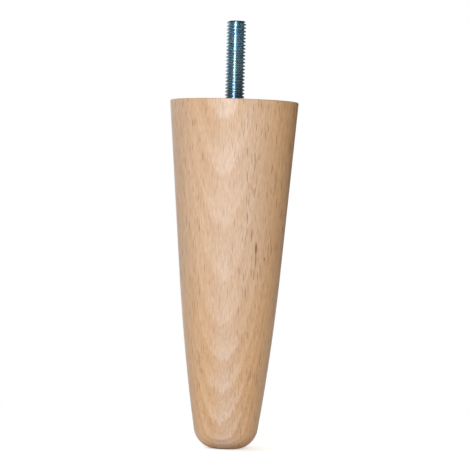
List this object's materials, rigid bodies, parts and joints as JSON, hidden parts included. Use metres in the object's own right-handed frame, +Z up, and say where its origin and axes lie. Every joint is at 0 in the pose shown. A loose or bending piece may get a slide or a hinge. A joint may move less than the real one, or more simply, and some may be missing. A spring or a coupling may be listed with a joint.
{
  "type": "tapered furniture leg",
  "caption": "Round wooden furniture leg, tapering in a full curve from a flat top to a small rounded foot, with a threaded stud standing out of its top.",
  "frame": {"origin": "centre of the base flat, on the floor", "axes": "+Z up along the leg's axis, out through the stud; X and Y are free, because the part is round"},
  "size_m": [0.0528, 0.0526, 0.1751],
  "materials": {
    "beech": "satin clear lacquer on flat-sawn beech",
    "zinc_plate": "blue-white zinc plate"
  },
  "bodies": {
    "root": {"leg_body": "beech", "hanger_bolt": "zinc_plate"}
  },
  "joints": []
}
